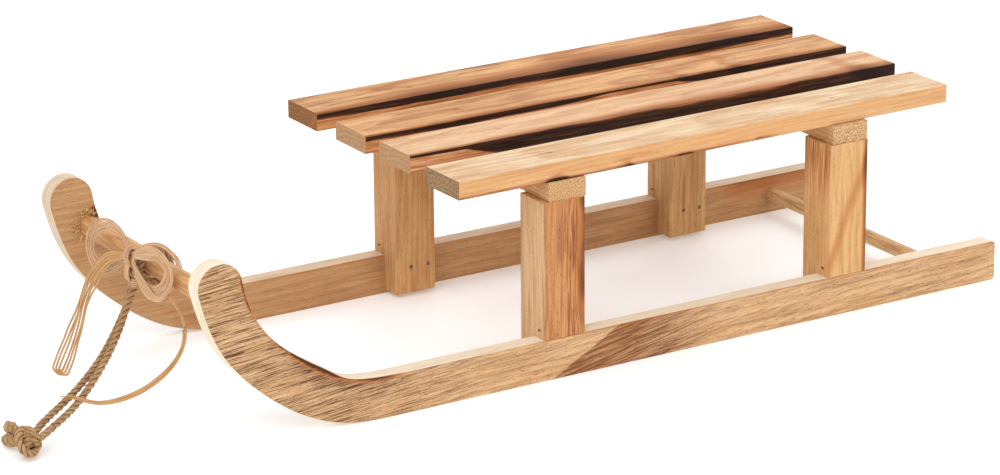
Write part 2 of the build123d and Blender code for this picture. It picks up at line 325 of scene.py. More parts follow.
def timber(name, board, wood):
    """Solid softwood: rings and fibres run through the board, so ends show end grain."""
    finish = Finish(name)
    x, y, z = finish.millimetres()
    along, side, rise = {"x": (x, y, z), "y": (y, x, z), "z": (z, x, y)}[board.axis]
    pale, warm, dark = (linear(*tone) for tone in (board.pale, board.warm, board.line_colour))
    facing = dict(zip("xyz", finish.coordinates("Normal")))
    end_face = abs(facing[board.axis]).rise(0.6, 0.85)
    seed = board.seed

    drift = finish.noise(along / 120 + seed, side / 34, rise / 34 + seed, detail=3.0)
    off_side = side - board.pith[0]
    off_rise = rise - board.pith[1] + along * RING_SLOPE
    reach = (off_side * off_side + off_rise * off_rise) ** 0.5 + drift * RING_WANDER
    ring = (reach / (wood.ring_spacing / MM * board.spacing)).fraction()
    late = ring.rise(0.25, 0.9) * ring.rise(1.0, 0.9)

    fibre = finish.noise(along / 30 + seed, side * 1.1, rise * 1.1, detail=4.0, roughness=0.62)
    hair = finish.noise(along / 9, side * 4 + seed, rise * 4, detail=2.0)
    blotch = finish.noise(along / 60, side / 18 + seed, rise / 18, detail=3.0, roughness=0.6)
    brushed = finish.noise(along / 30, side * 0.85 + seed, rise * 0.85, detail=3.5,
                           roughness=0.55, distortion=0.25)
    pores = finish.noise(along / 2.6, side * 1.9, rise * 1.9 + seed, detail=1.0)
    slow = drift - 0.5
    fine = fibre - 0.5

    warmth = late * board.rings + fine * 1.1 + blotch.rise(0.4, 0.68) * board.blotch
    colour = finish.mix(warmth.most(0.0).least(1.0), pale, warm)
    if board.side:
        outer = abs(facing["y"]).rise(0.5, 0.8) * board.side_share
        colour = finish.mix(outer, colour, linear(*board.side))
    streak = finish.noise(along / 80 + seed, side / 5, rise / 5, detail=3.0, roughness=0.65)
    line = (brushed.rise(0.52, 0.64) + late * 0.45 + streak.rise(0.48, 0.66) * 0.9) * board.lines
    marks = line + pores.rise(0.64, 0.71) * 0.5
    if board.scorch:
        burn, stripe = board.scorch(finish, x, y, z, slow, fine, brushed)
        burn = burn * (1 - end_face * END_CHAR)
        marks = marks + stripe
    colour = finish.mix(marks.least(1.0), colour, dark)
    colour = finish.mix((hair - 0.48).most(0.0) * 0.95, colour, dark)
    height = fibre * 0.5 + hair * 0.3 - line * 0.6

    if board.edge:
        sawn = abs(facing["y"]).rise(0.62, 0.5)
        layers = finish.noise((x + z) / 45, y * 1.1 + seed, (x - z) / 45, detail=3.0)
        dashes = finish.noise((x + z) / 5, y * 1.6, (x - z) / 5 + seed, detail=2.0).rise(0.62, 0.72)
        flecks = dashes * 0.6 + layers.rise(0.46, 0.62) * 0.5 + (hair - 0.5).most(0.0) * 0.8
        sawn_tone = finish.mix(flecks, wood.cut_edge, pale)
        colour = finish.mix(sawn * board.edge, colour, sawn_tone)
    else:
        speckle = finish.noise(side * 1.3, rise * 1.3, along / 6 + seed, detail=2.0)
        ends = (linear(*tone) for tone in board.ends)
        end_tone = finish.mix(speckle.rise(0.42, 0.58) * 0.75 + late * 0.25, *ends)
        colour = finish.mix(end_face, colour, end_tone)

    roughness = 0.62 + fibre * 0.16 - late * 0.08
    if board.scorch:
        colour = finish.mix(burn.rise(0.0, 0.32) * 0.8, colour, wood.scorch_toast)
        colour = finish.mix(burn.rise(0.16, 0.66), colour, wood.scorch_brown)
        colour = finish.mix(burn.rise(0.6, 1.0), colour, wood.scorch_black)
        roughness = (roughness + burn * 0.2).least(0.95)
    return finish.surface(colour, roughness, height, relief=wood.grain_relief,
                          **{"Specular IOR Level": 0.28})


def outer_face(y):
    """1 on the faces that look away from the toboggan's middle, 0 a millimetre further in."""
    return abs(y).rise(HALF_WIDTH - 1.0, HALF_WIDTH - 0.4)


# Each scorch gets the place in millimetres, a slow and a fine noise centred on zero and the
# brushed grain, and returns how burnt the wood is and how strong extra dark lines are.
def near_runner_scorch(finish, x, y, z, slow, fine, brushed):
    """Dark brushed lines up the horn, a burnt bend and a slanting flame mark by the front post."""
    outside = outer_face(y)
    climb = (x - 162.0).most(0.0)
    below = climb ** 2.4 * 0.00086 + 27.0 - z + (z - 55.0).most(0.0) * 8.0
    neck = ((z - 38.8).most(0.0).least(21.7) * 1.45 + (z - 60.5).most(0.0).least(30.5) * 0.705
            + (z - 91.0).most(0.0) * 0.25 + 213.0)
    inwards = below.least(x - neck + (45.0 - z).most(0.0) * 8.0) + fine * 4.0
    bend = x.rise(150.0, 185.0) * z.rise(117.0, 104.0)
    low_bend = x.rise(262.0, 225.0)
    edge_burn = (inwards.rise(6.0, 0.2) * 0.3 + inwards.rise(2.6, 0.2) * 0.5) * bend
    browned = inwards.rise(17.0, 1.0) * low_bend * bend
    across = z + x * 0.09 + x.least(60.0).most(-150.0) * 0.09 + slow * 5.0
    lines = finish.noise(x / 26, 7.7, across * 1.25, detail=4.0, roughness=0.62, distortion=0.15)
    thin = finish.noise(x / 18, 2.3, across * 2.9, detail=3.0, roughness=0.6)
    band = (x + slow * 40.0).rise(60.0, 210.0)
    dark_grain = (lines.rise(0.48, 0.6) * 0.72 + thin.rise(0.5, 0.62) * 0.4) * (0.34 + band * 0.54)
    dark_grain = dark_grain * (1 + browned * 0.5) + band * 0.06 + browned * 0.3
    slanting = x - 9.3 - (22.8 - z) * 1.886
    behind = (slanting + fine * 5.0).rise(1.5, -1.0)
    fading = (x + slow * 46.0 + fine * 26.0).rise(-92.0, 12.0)
    top_line = (z + fine * 3.0).rise(25.2, 27.0) * x.rise(120.0, 40.0) * (slow + 0.25)
    flame = behind * fading
    dark_grain = dark_grain + flame * (0.32 + lines.rise(0.42, 0.58) * 0.5 + thin.rise(0.46, 0.6) * 0.3)
    return (edge_burn + top_line * 0.8 + flame * 0.13) * outside, dark_grain * outside


def far_runner_scorch(finish, x, y, z, slow, fine, brushed):
    """A quiet inner face, with the same dark grain on the hidden outer one."""
    outside = outer_face(y)
    inside = y.rise(-93.9, -93.4)
    patches = finish.noise(x / 46, z / 16, 4.7, detail=3.0).rise(0.53, 0.72)
    middle_toast = x.rise(20.0, 80.0) * x.rise(235.0, 190.0) * 0.05
    spot = ((x - 268.5) * (x - 268.5) + (z - 95.5) * (z - 95.5)).rise(34.0, 3.0)
    edge = (z + fine * 3.0).rise(25.0, 27.2) * x.rise(215.0, 180.0) * 0.18
    rear_dark = (x + slow * 60.0).rise(-186.0, -232.0) * (z + fine * 20.0).rise(6.0, 26.0)
    burn = (inside * (patches * 0.1 + spot * 0.7 + middle_toast + edge + rear_dark * 0.3)
            + outside * patches * 0.4)
    stripes = outside * brushed.rise(0.46, 0.58) * 0.6
    return burn, stripes


def edge_scorch(edge_y, toast_share, bands, marks):
    """A charred band along a slat's upper left edge, with browning inwards over the top.

    Each band stop is x, the band's middle and half width across the edge (down the side is
    negative) and how far the browning reaches, from the front to the rear. Each mark is a
    browning across the slat: its x, how far it reaches and how strong it is.
    """
    def scorch(finish, x, y, z, slow, fine, brushed):
        centre, half, toast = bands[0][1:]
        for (start, *low), (end, *high) in zip(bands, bands[1:]):
            share = x.rise(start, end)
            centre = share * (high[0] - low[0]) + centre
            half = share * (high[1] - low[1]) + half
            toast = share * (high[2] - low[2]) + toast
        across = z - y + (edge_y - SEAT_TOP)
        ragged = across + (slow * 1.6 + fine * 1.1) * half
        core = (abs(ragged - centre) / half).rise(1.25, 0.6) * (fine * 0.86 + 0.93)
        inwards = (across + fine * 7.0 + slow * 10.0) / toast
        browned = inwards.rise(1.3, 0.0) * across.rise(-2.0, 0.0) * (brushed + 0.5) * toast_share
        side_face = across.rise(0.0, -2.5) * (brushed.rise(0.3, 0.7) * 0.3 + 0.1)
        burn = core.most(browned).most(side_face)
        for mark_x, reach, strength in marks:
            far = abs(x - mark_x + slow * 60.0 + (y - edge_y) * 0.18)
            burn = burn + (far + fine * 10.0).rise(reach, 0.0) * strength
        return burn, 0.0
    return scorch


def pale_slat_scorch(finish, x, y, z, slow, fine, brushed):
    """A pale slat with a toasted outside and a dark, uneven lower edge."""
    side_face = y.rise(103.0, 103.6)
    patches = finish.noise(x / 34, z / 12, 6.3, detail=3.0).rise(0.46, 0.62)
    low = (z + fine * 5.0).rise(133.4, 130.3) * (0.42 + patches * 0.5)
    high = (z + slow * 8.0).rise(139.0, 142.0) * patches * 0.1
    cloud = patches * (z + fine * 6.0).rise(142.0, 131.0) * 0.3
    return side_face * (low + high + cloud), 0.0


def front_post_scorch(finish, x, y, z, slow, fine, brushed):
    """The near front post's outer face is toasted towards its rear edge and its top."""
    outside = outer_face(y)
    rear_edge = (x + slow * 12.0).rise(37.0, 28.6) * z.rise(34.0, 60.0)
    top = z.rise(106.0, 118.0) * (fine + 0.5)
    grain = finish.noise(z / 36, x * 0.5 + slow * 8.0, 1.9, detail=3.0, roughness=0.6)
    dark_side = x.rise(50.0, 36.0) * 0.5 + 0.25
    streak = grain.rise(0.45, 0.58) * dark_side
    return outside * (rear_edge * 0.5 + top * 0.3 + streak * 0.12), outside * streak


def rear_post_scorch(finish, x, y, z, slow, fine, brushed):
    """A faint slanting streak on the near rear post."""
    slant = abs(z - 70.0 + (x + 176.0) * 2.2 + slow * 30.0)
    outside = outer_face(y)
    rear_edge = x.rise(-186.0, -190.6) * 0.45
    front = x.rise(-162.2, -161.6)
    patch = (z + slow * 40.0).rise(66.0, 110.0) * fine.rise(-0.15, 0.1) * 0.4
    return outside * (slant.rise(16.0, 0.0) * 0.22 + rear_edge) + front * patch, 0.0


def far_post_scorch(finish, x, y, z, slow, fine, brushed):
    """A brown streak up the far posts."""
    streak = finish.noise(z / 90, x / 7, y / 7, detail=2.0).rise(0.52, 0.75)
    return streak * 0.3, 0.0


BOARDS = {
    "runner_left": Board(
        "x", (226, 184, 137), (204, 154, 103), (130.0, -30.0), seed=1.3,
        lines=0.18, line_colour=(94, 54, 28), scorch=near_runner_scorch,
        edge=1.0, spacing=1.3, rings=0.25),
    "runner_right": Board(
        "x", (198, 154, 108), (172, 124, 80), (-60.0, -45.0), seed=5.1,
        lines=0.22, line_colour=(116, 74, 42), scorch=far_runner_scorch,
        edge=0.62, spacing=1.5, rings=0.2),
    "post_front_left": Board(
        "z", (222, 184, 140), (204, 156, 106), (20.0, 70.0), seed=2.2,
        lines=0.24, line_colour=(128, 70, 34), scorch=front_post_scorch,
        side=(204, 132, 74), side_share=0.75, blotch=0.35),
    "post_rear_left": Board(
        "z", (222, 176, 120), (198, 146, 88), (-150.0, 60.0), seed=7.4,
        lines=0.2, line_colour=(150, 92, 48), scorch=rear_post_scorch),
    "post_front_right": Board(
        "z", (212, 164, 110), (184, 132, 80), (60.0, -60.0), seed=3.9,
        lines=0.18, scorch=far_post_scorch),
    "post_rear_right": Board(
        "z", (210, 166, 112), (184, 136, 84), (-150.0, -50.0), seed=8.8,
        lines=0.2, scorch=far_post_scorch),
    "bolster_front": Board(
        "y", (214, 170, 120), (184, 134, 86), (20.0, 90.0), seed=4.4,
        spacing=0.55, lines=0.3, ends=((168, 120, 74), (218, 176, 126))),
    "bolster_rear": Board(
        "y", (214, 170, 120), (184, 134, 86), (-200.0, 100.0), seed=6.1,
        spacing=0.55, lines=0.3, ends=((166, 118, 74), (220, 182, 136))),
    "slat_outer_right": Board(
        "x", (232, 178, 124), (188, 126, 76), (-96.0, 100.0), seed=9.2,
        lines=0.42, line_colour=(112, 66, 36), blotch=0.7,
        ends=((120, 74, 32), (150, 100, 50)),
        scorch=edge_scorch(
            edge_y=-67.6, toast_share=0.44,
            bands=((120.0, -2.8, 2.2, 5.0), (20.0, -2.2, 3.0, 16.0), (-120.0, -2.0, 3.6, 24.0),
                   (-236.0, -2.0, 3.6, 18.0)),
            marks=((26.0, 46.0, 0.1), (-96.0, 50.0, 0.14), (-200.0, 40.0, 0.1)))),
    "slat_inner_right": Board(
        "x", (232, 180, 126), (192, 128, 78), (-20.0, 90.0), seed=2.9,
        lines=0.36, line_colour=(138, 82, 44), blotch=0.55,
        ends=((160, 120, 82), (196, 154, 112)),
        scorch=edge_scorch(
            edge_y=-8.0, toast_share=0.4,
            bands=((120.0, -2.2, 1.8, 3.0), (40.0, -2.2, 2.5, 7.0), (-20.0, -2.0, 2.2, 9.0),
                   (-70.0, -1.0, 0.9, 6.0), (-110.0, -1.0, 1.0, 5.0), (-150.0, -2.5, 3.0, 6.0)),
            marks=((-125.0, 9.0, 0.2), (-172.0, 11.0, 0.22)))),
    "slat_inner_left": Board(
        "x", (236, 198, 158), (206, 146, 94), (30.0, 80.0), seed=6.6,
        lines=0.26, line_colour=(164, 106, 62), blotch=0.4,
        ends=((160, 120, 82), (200, 160, 118)),
        scorch=edge_scorch(
            edge_y=43.3, toast_share=0.4,
            bands=((120.0, -1.0, 1.1, 3.0), (80.0, -1.5, 1.4, 3.0), (44.0, -6.0, 7.5, 8.0),
                   (-120.0, -6.0, 7.8, 15.0), (-236.0, -4.5, 6.0, 12.0)),
            marks=((-236.0, 16.0, 0.2),))),
    "slat_outer_left": Board(
        "x", (236, 212, 178), (214, 172, 124), (86.0, 60.0), seed=1.7,
        lines=0.36, line_colour=(186, 130, 80), blotch=0.6,
        ends=((124, 92, 60), (170, 138, 100)), side=(214, 158, 100),
        side_share=0.8, scorch=pale_slat_scorch),
    "pull_bar": Board(
        "y", (226, 178, 126), (200, 146, 90), (250.0, 60.0), seed=3.3,
        spacing=0.5, lines=0.3, line_colour=(150, 98, 56), rings=0.4),
    "rear_dowel": Board(
        "y", (234, 196, 144), (204, 160, 106), (-280.0, 0.0), seed=5.7,
        spacing=0.5, lines=0.3),
}


def coat(name, material):
    """Gives a CAD piece one material in place of its own."""
    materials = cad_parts[name].data.materials
    materials.clear()
    materials.append(material)


def dress(names, wood):
    """Gives each named CAD piece its own timber."""
    for name in names:
        coat(name, timber(f"timber_{name}", BOARDS[name], wood))


def nail_steel():
    """Dull wire steel, browned by the flame."""
    finish = Finish("nail_steel")
    x, y, z = finish.millimetres()
    stain = finish.noise(x * 1.4, y * 1.4, z * 1.4, detail=3.0)
    colour = finish.mix(stain.rise(0.4, 0.65), linear(120, 104, 90), linear(62, 44, 34))
    return finish.surface(colour, 0.38 + stain * 0.3, stain, relief=0.15, Metallic=0.8)


def torn_fibre():
    """Pale splinters, each in its own shade."""
    finish = Finish("torn_fibre")
    x, y, z = finish.millimetres()
    shade = finish.noise(x, y, z, detail=3.0)
    colour = finish.mix(shade.rise(0.35, 0.65), linear(196, 146, 84), linear(236, 202, 140))
    return finish.surface(colour, 0.8, shade)


def jute(rope):
    """Laid jute: fine fibres that wind along each strand, with painted shade on each strand's inward
    side, in the grooves between strands.
    """
    finish = Finish("jute")
    u, v, _ = finish.coordinates("UV")
    fibre = finish.noise(u * 0.35 + v * 2.0, v * 15.0 - u * 1.3, 0.0, detail=3.0, roughness=0.6)
    fleck = finish.noise(u * 0.6, v * 5.0, 3.0, detail=4.0, roughness=0.7)
    x, y, z = finish.millimetres()
    age = finish.noise(x / 14, y / 14, z / 14, detail=3.0)
    # Painted shade: darkens the inward side of each strand, where it sinks into the groove between
    # strands, by its place around the strand.
    painted_groove_shade = (v * (2 * math.pi)).maths("SINE").rise(0.8, 0.05)
    share = fibre.rise(0.3, 0.66) * 0.7 + (age - 0.5) * 0.8
    colour = finish.mix(share.most(0.0).least(1.0), rope.dark, rope.light)
    colour = finish.mix(fleck.rise(0.6, 0.76) * 0.5, colour, linear(92, 62, 34))
    # Mixes the painted groove shade into the colour, towards a deep brown.
    colour = finish.mix(painted_groove_shade * 0.6, colour, linear(92, 58, 34))
    return finish.surface(colour, 0.84 + fleck * 0.1, fibre, relief=0.7, depth=0.5 * MM)


def raffia_fibre(raffia, name, base):
    """Raffia: each thread has its own tone and fine lengthwise lines, with painted shade on each thread's
    two sides, where it lies against its neighbours.
    """
    finish = Finish(name)
    u, v, _ = finish.coordinates("UV")
    line = finish.noise(u * 0.08, v * 9.0, 0.0, detail=3.0, roughness=0.6)
    shade = finish.noise(u * 0.03, v.maths("FLOOR") * 3.7, 5.0, detail=2.0)
    share = (line.rise(0.32, 0.62) * 0.6 + (shade - 0.35) * 1.1).most(0.0).least(1.0)
    colour = finish.mix(share, raffia.dark, base)
    # Painted shade: darkens each thread's two sides, where it meets its neighbours, towards a deep brown,
    # so that its crown looks lit.
    painted_side_shade = abs((v * (2 * math.pi)).maths("SINE")).rise(0.62, 0.05)
    colour = finish.mix(painted_side_shade * 0.6, colour, linear(122, 78, 44))
    return finish.surface(colour, 0.46 + line * 0.16, line, relief=0.5, depth=0.2 * MM)


# ---------------------------------------------------------------- mesh building
class Maker:
    """Collects tubes into one mesh with lengthwise UVs."""

    def __init__(self):
        self.points = []
        self.faces = []
        self.chart = []

    def ring_strip(self, rings, charts):
        """Joins rings of points into a skin, with a cap at each end."""
        sides = len(rings[0])
        start = len(self.points)
        for ring in rings:
            self.points.extend(ring)
        for k in range(len(rings) - 1):
            for j in range(sides):
                nxt = (j + 1) % sides
                a = start + k * sides
                b = a + sides
                self.faces.append((a + j, a + nxt, b + nxt, b + j))
                low, high = charts[k], charts[k + 1]
                left, right = j / sides, (j + 1) / sides
                self.chart.append(((low[0], low[1] + left), (low[0], low[1] + right),
                                   (high[0], high[1] + right), (high[0], high[1] + left)))
        for ring_start, order in ((start, -1), (start + (len(rings) - 1) * sides, 1)):
            corners = range(ring_start, ring_start + sides)
            self.faces.append(tuple(corners)[::order])
            self.chart.append(tuple(charts[0] for _ in corners))

    def tube(self, line, radii, sides=8, flat=1.0, facing=None, row=0.0):
        """A tube along a line; flat squeezes it along facing, which may be one way or one each."""
        ways = frames(line, facing)
        rings, charts = [], []
        run = 0.0
        for k, (place, (_, across, out)) in enumerate(zip(line, ways)):
            if k:
                run += (place - line[k - 1]).length
            radius = radii[k] if isinstance(radii, (list, tuple)) else radii
            rings.append([place + across * radius * math.cos(turn) + out * radius * flat * math.sin(turn)
                          for turn in (2 * math.pi * j / sides for j in range(sides))])
            charts.append((run / MM, row))
        self.ring_strip(rings, charts)

    def build(self, name, material):
        """Makes the collected skins one smooth object."""
        mesh = bpy.data.meshes.new(name)
        mesh.from_pydata([tuple(p) for p in self.points], [], self.faces)
        layer = mesh.uv_layers.new(name="lengthwise")
        corner = 0
        for uvs in self.chart:
            for uv in uvs:
                layer.data[corner].uv = uv
                corner += 1
        mesh.polygons.foreach_set("use_smooth", [True] * len(mesh.polygons))
        mesh.validate()
        mesh.materials.append(material)
        piece = bpy.data.objects.new(name, mesh)
        bpy.context.scene.collection.objects.link(piece)
        return piece


def frames(line, facing=None):
    """Along, across and out directions at each point, carried along the line without twist."""
    ways = []
    out = None
    last = len(line) - 1
    for k in range(len(line)):
        before, after = line[max(k - 1, 0)], line[min(k + 1, last)]
        along = (after - before).normalized()
        if facing is not None:
            out = facing[k] if isinstance(facing, list) else facing
        elif out is None:
            out = Vector((0, 0, 1)) if abs(along.z) < 0.8 else Vector((1, 0, 0))
        out = (out - along * out.dot(along)).normalized()
        ways.append((along, out.cross(along), out))
    return ways


def smooth_line(route, steps=10):
    """The points of one smooth curve that follows a route, closer together than a diameter."""
    curve = bpy.data.curves.new("route", "CURVE")
    curve.dimensions = "3D"
    curve.resolution_u = steps
    spline = curve.splines.new("NURBS")
    spline.points.add(len(route) - 1)
    for point, place in zip(spline.points, route):
        point.co = (*place, 1)
    spline.order_u = 3
    spline.use_endpoint_u = True
    carrier = bpy.data.objects.new("route", curve)
    mesh = bpy.data.meshes.new_from_object(carrier)
    line = [v.co.copy() for v in mesh.vertices]
    bpy.data.objects.remove(carrier)
    bpy.data.curves.remove(curve)
    bpy.data.meshes.remove(mesh)
    return line


def run_lengths(line):
    """How far along the line each of its points lies."""
    runs = [0.0]
    for before, after in zip(line, line[1:]):
        runs.append(runs[-1] + (after - before).length)
    return runs


def between(stops, share):
    """A value read from (share, value) stops with an eased run between them."""
    for (start, low), (end, high) in zip(stops, stops[1:]):
        if share <= end:
            t = min(max((share - start) / max(end - start, 1e-9), 0.0), 1.0)
            return low + (high - low) * t * t * (3 - 2 * t)
    return stops[-1][1]


STRAND_SHARE = 0.53


def laid_rope(maker, line, rope, swell=((0, 1), (1, 1)), turn=0.0):
    """Three strands wound round the line. Swell makes the rope thicker in places."""
    radius = rope.diameter / 2
    strand = radius * STRAND_SHARE
    offset = radius - strand
    runs = run_lengths(line)
    ways = frames(line)
    for k in range(3):
        strand_line, sizes, outwards = [], [], []
        for place, (_, across, out), run in zip(line, ways, runs):
            size = between(swell, run / runs[-1])
            angle = turn + 2 * math.pi * (run / rope.lay_length + k / 3)
            away = across * math.cos(angle) + out * math.sin(angle)
            strand_line.append(place + away * offset * size)
            sizes.append(strand * size)
            outwards.append(away)
        maker.tube(strand_line, sizes, sides=9, facing=outwards, row=float(k))


def threads(maker, line, count, thread, widths, facing, seed, lean=0.0, rows=0.0):
    """Raffia threads side by side. Widths is the bundle's width along the line in millimetres."""
    dice = random.Random(seed)
    runs = run_lengths(line)
    ways = frames(line, facing)
    for k in range(count):
        share = (k / (count - 1) - 0.5) if count > 1 else 0.0
        waves = [(dice.uniform(1.5, 4.5), dice.uniform(0, 6.3), dice.uniform(0.2, 0.6)) for _ in range(3)]
        bend = dice.uniform(-1, 1)
        thread_line = []
        for place, (_, across, out), run in zip(line, ways, runs):
            s = run / runs[-1]
            free = math.sin(math.pi * s) ** 0.5
            sway = sum(size * math.sin(rate * 2 * math.pi * s + start) for rate, start, size in waves)
            sideways = (share + lean) * between(widths, s) * MM + sway * 0.25 * thread * free
            upwards = (sway * 0.15 + bend * 0.3) * thread * free
            thread_line.append(place + across * sideways + out * upwards)
        size = thread / 2 * dice.uniform(0.82, 1.12)
        maker.tube(thread_line, size, sides=7, flat=0.7, facing=facing, row=rows + k)


def hairpins(maker, line, count, thread, widths, facing):
    """Nested threads that run down one side of the line, round its end and back up."""
    runs = run_lengths(line)
    ways = frames(line, facing)
    for k in range(count):
        half = (k + 0.6) / count / 2
        down, back = [], []
        for place, (_, across, out), run in zip(line, ways, runs):
            s = run / runs[-1]
            sway = math.sin(9.0 * s + 2.1 * k) * 0.35 * thread * math.sin(math.pi * s)
            reach = half * between(widths, s) * MM
            down.append(place + across * (reach + sway) + out * (k - 1) * 0.4 * thread * s)
            back.append(place - across * (reach - sway) - out * (k - 1) * 0.3 * thread * s)
        along, across, _ = ways[-1]
        reach = half * widths[-1][1] * MM
        tip = [line[-1] + across * reach * math.cos(turn) + along * reach * math.sin(turn) * 0.8
               for turn in (math.radians(15 * step) for step in range(1, 12))]
        maker.tube(down + tip + back[::-1], thread / 2, sides=7, flat=0.7, facing=facing, row=float(k))


def route_mm(points):
    """Points in millimetres as vectors in metres."""
    return [Vector(p) * MM for p in points]


# ---------------------------------------------------------------- the rope's and raffia's routes
# Millimetres, as in the part's source.
LEG_LEFT = [
    (282.8, -3.8, 86.8), (288.4, -3.6, 73.5), (296.2, 1.7, 64.0), (305.6, 9.4, 53.0),
    (317.7, 16.8, 41.1), (333.4, 26.4, 29.9), (349.9, 35.4, 20.7), (368.0, 43.4, 15.0),
    (379.8, 48.4, 11.4),
]
LEG_RIGHT = [
    (282.8, -9.2, 86.8), (286.5, -8.5, 72.9), (295.0, -2.9, 60.6), (306.8, 5.0, 50.0),
    (319.6, 12.6, 39.6), (336.4, 20.6, 29.4), (354.0, 27.9, 21.6), (371.6, 36.8, 16.8),
    (382.0, 43.2, 12.4),
]
LOOP_LEFT = [
    (289.5, -3.7, 96.5), (289.6, -7.1, 102.7), (289.8, -14.3, 108.1), (290.2, -25.9, 109.6),
    (290.6, -38.0, 106.6), (290.8, -48.4, 101.0), (291.0, -54.9, 93.6), (291.1, -57.0, 86.2),
    (291.0, -53.9, 79.4), (290.9, -47.0, 76.6), (290.7, -38.6, 78.4), (290.3, -28.4, 82.8),
    (289.9, -17.2, 88.1), (289.5, -3.9, 94.5),
]
LOOP_RIGHT = [
    (289.8, -1.9, 94.4), (289.4, 2.1, 86.4), (288.8, 8.3, 78.4), (288.0, 15.9, 74.7),
    (287.1, 24.8, 75.2), (286.3, 33.4, 79.5), (285.6, 39.9, 86.5), (285.2, 43.2, 93.4),
    (285.5, 41.0, 100.6), (286.2, 34.6, 105.4), (287.1, 25.1, 107.2), (288.3, 13.3, 104.1),
    (289.8, -1.8, 96.4),
]
TAIL_LOOP = [
    (289.5, -3.8, 95.1), (292.7, -14.6, 93.0), (295.5, -23.8, 88.6), (297.9, -32.1, 80.4),
    (300.2, -39.6, 69.1), (302.1, -46.0, 56.4), (303.5, -50.7, 43.3), (305.2, -56.3, 30.7),
    (307.0, -62.3, 17.8), (309.0, -68.9, 4.6),
]
STRAND = [
    (285.4, 37.5, 81.2), (279.5, 34.2, 73.5), (273.8, 31.6, 65.0), (270.8, 30.4, 55.0),
    (271.6, 30.0, 44.6), (277.0, 30.0, 35.0), (287.2, 30.2, 26.6), (301.0, 30.6, 20.2),
    (316.5, 30.9, 17.4), (330.0, 33.0, 18.8), (339.8, 36.4, 22.6), (347.2, 37.6, 26.8),
    (352.6, 34.4, 28.0), (356.0, 29.0, 26.8),
]
ARCH = [
    (289.0, -2.5, 97.0), (284.5, -1.0, 101.0), (278.0, 3.0, 103.0), (271.5, 7.0, 101.0),
    (267.0, 11.0, 96.0), (265.3, 14.5, 89.5), (266.6, 17.5, 82.8), (271.5, 19.5, 78.0),
    (278.0, 19.0, 75.4), (285.0, 16.0, 75.0),
]
SHORT_END = [
    (289.8, -3.0, 93.5), (290.6, 5.0, 89.6), (290.2, 13.5, 84.0), (288.6, 21.0, 78.0),
    (286.4, 25.0, 74.6),
]
KNOT_BAND = [
    (-5.0, -4.5, 4.0), (-1.0, -7.0, 7.0), (5.0, -4.6, 7.6), (8.6, 1.0, 5.2),
    (9.0, 6.2, 0.4), (6.0, 7.6, -4.0), (0.0, 5.0, -4.6),
]
BOW_KNOT, NECK_WRAP, FLOOR_KNOT = route_mm([
    (289.5, -3.8, 95.1), (286.0, -6.4, 77.5), (385.0, 47.0, 9.3)])
TAIL_ENDS = route_mm([(384.6, 17.0, 9.6), (389.6, 24.6, 5.0)])
BAR = middle("pull_bar")
HITCH_Y = middle("rope_hitch").y
FORWARD = Vector((1, 0, 0))

# Sizes of the knots, in millimetres and degrees.
HITCH_HALF_WIDTH = 8.2
HITCH_COIL_RADIUS = 10.1
HITCH_COIL_STEPS = 5
FLOOR_COIL_STEPS = 8
FLOOR_COIL_PITCH = 1.45
FLOOR_COIL_HALF_DEPTH = 5.4
FLOOR_COIL_HALF_HEIGHT = 5.8
BOW_COILS = 5
BOW_COIL_GAP = 1.25
BOW_COIL_RADIUS = 4.6
NECK_COILS = 5
NECK_COIL_STEPS = 12
NECK_HEIGHT = 6.0
NECK_TURN = 76.0
NECK_THREADS = 5
SPLINTERS = 34


def beside_bar(forward, y, up):
    """A place forward of and above the pull bar's axis in millimetres, at a y in metres."""
    return Vector((BAR.x + forward * MM, y, BAR.z + up * MM))


def hitch_turn(side, leg_y):
    """From the middle of the hitch's bight, out and once round the bar, to where a leg starts."""
    outer_y = HITCH_Y + side * HITCH_HALF_WIDTH * MM
    route = [
        beside_bar(15.4, HITCH_Y, -2.2),
        beside_bar(15.0, HITCH_Y + side * 4.6 * MM, -2.6),
        beside_bar(11.6, outer_y, -6.4),
    ]
    for step in range(HITCH_COIL_STEPS + 1):
        turn = math.radians(-80 - 45 * step)
        y = outer_y + (leg_y - outer_y) * (step / HITCH_COIL_STEPS) ** 2
        route.append(beside_bar(
            HITCH_COIL_RADIUS * math.cos(turn), y, HITCH_COIL_RADIUS * math.sin(turn)))
    return route


def raffia_cord(piece, node, diameter):
    """Hangs a finished length of raffia on the rope's body and hides the CAD node that it takes the place
    of.
    """
    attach(piece, ROPE)
    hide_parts(node)


